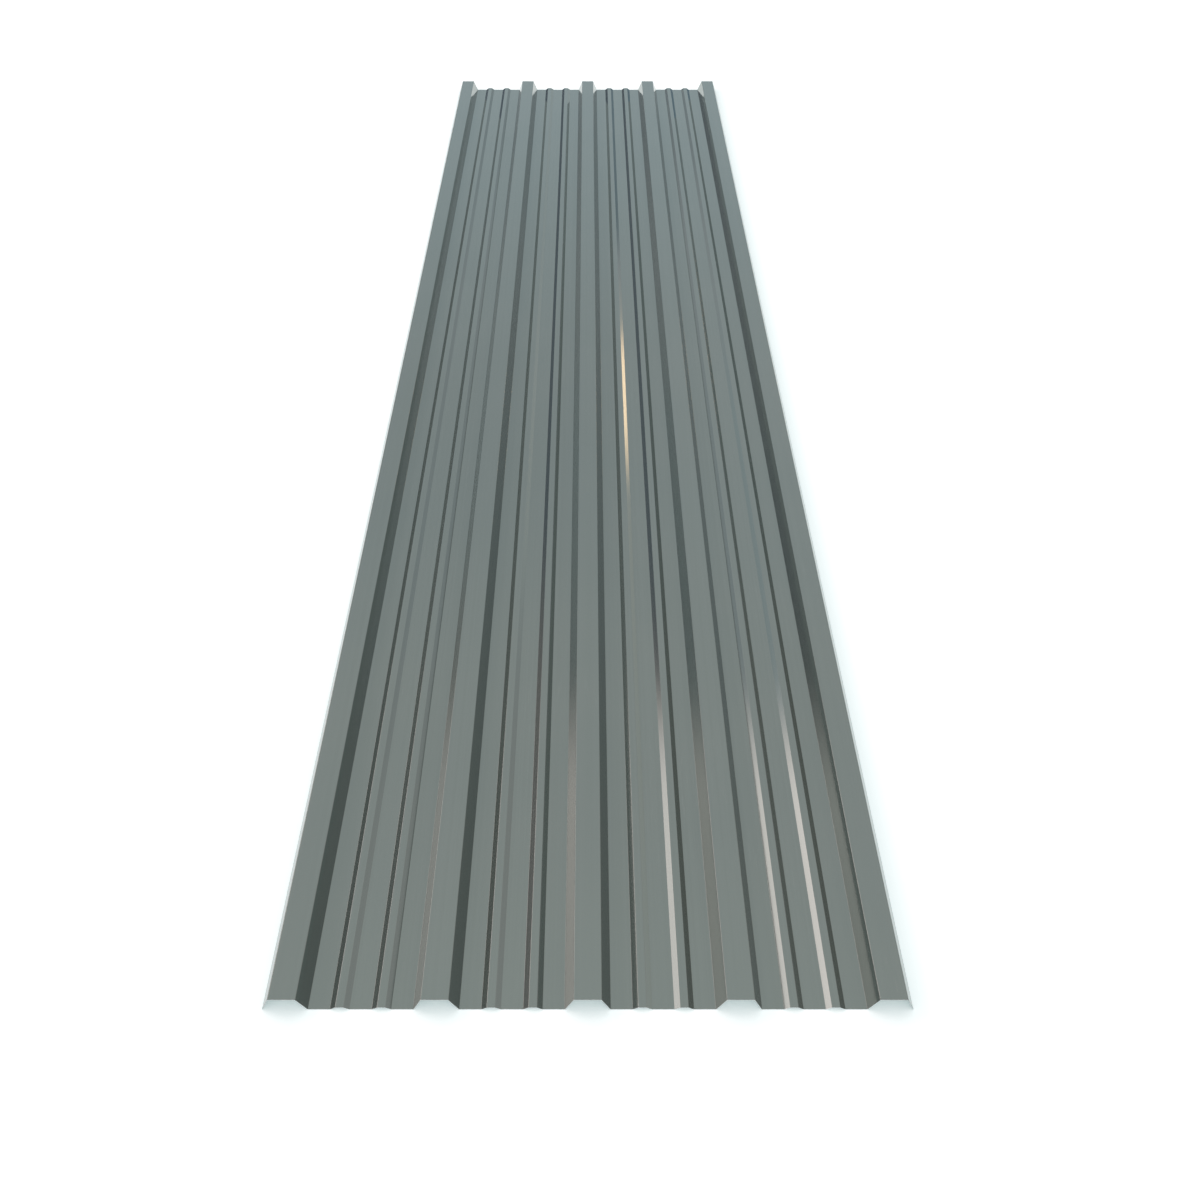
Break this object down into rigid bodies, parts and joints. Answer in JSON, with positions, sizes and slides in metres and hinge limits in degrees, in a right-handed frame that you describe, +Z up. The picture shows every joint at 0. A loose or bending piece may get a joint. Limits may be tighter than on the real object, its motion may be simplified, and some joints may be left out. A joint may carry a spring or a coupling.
{
  "type": "corrugated metal sheet",
  "caption": "Trapezoidal corrugated roofing and cladding sheet in painted steel, with main ribs along its length and low stiffening ribs in the pans between them.",
  "frame": {"origin": "bottom centre of the sheet, on the plane of the pans' underside", "axes": "+X across the ribs, +Y along the sheet, +Z up from the pans to the crests"},
  "size_m": [1.0762, 4, 0.035],
  "materials": {
    "coil_coat": "glossy metallic grey-green coil coat on galvanised steel"
  },
  "bodies": {
    "root": {"profiled_sheet": "coil_coat"}
  },
  "joints": []
}
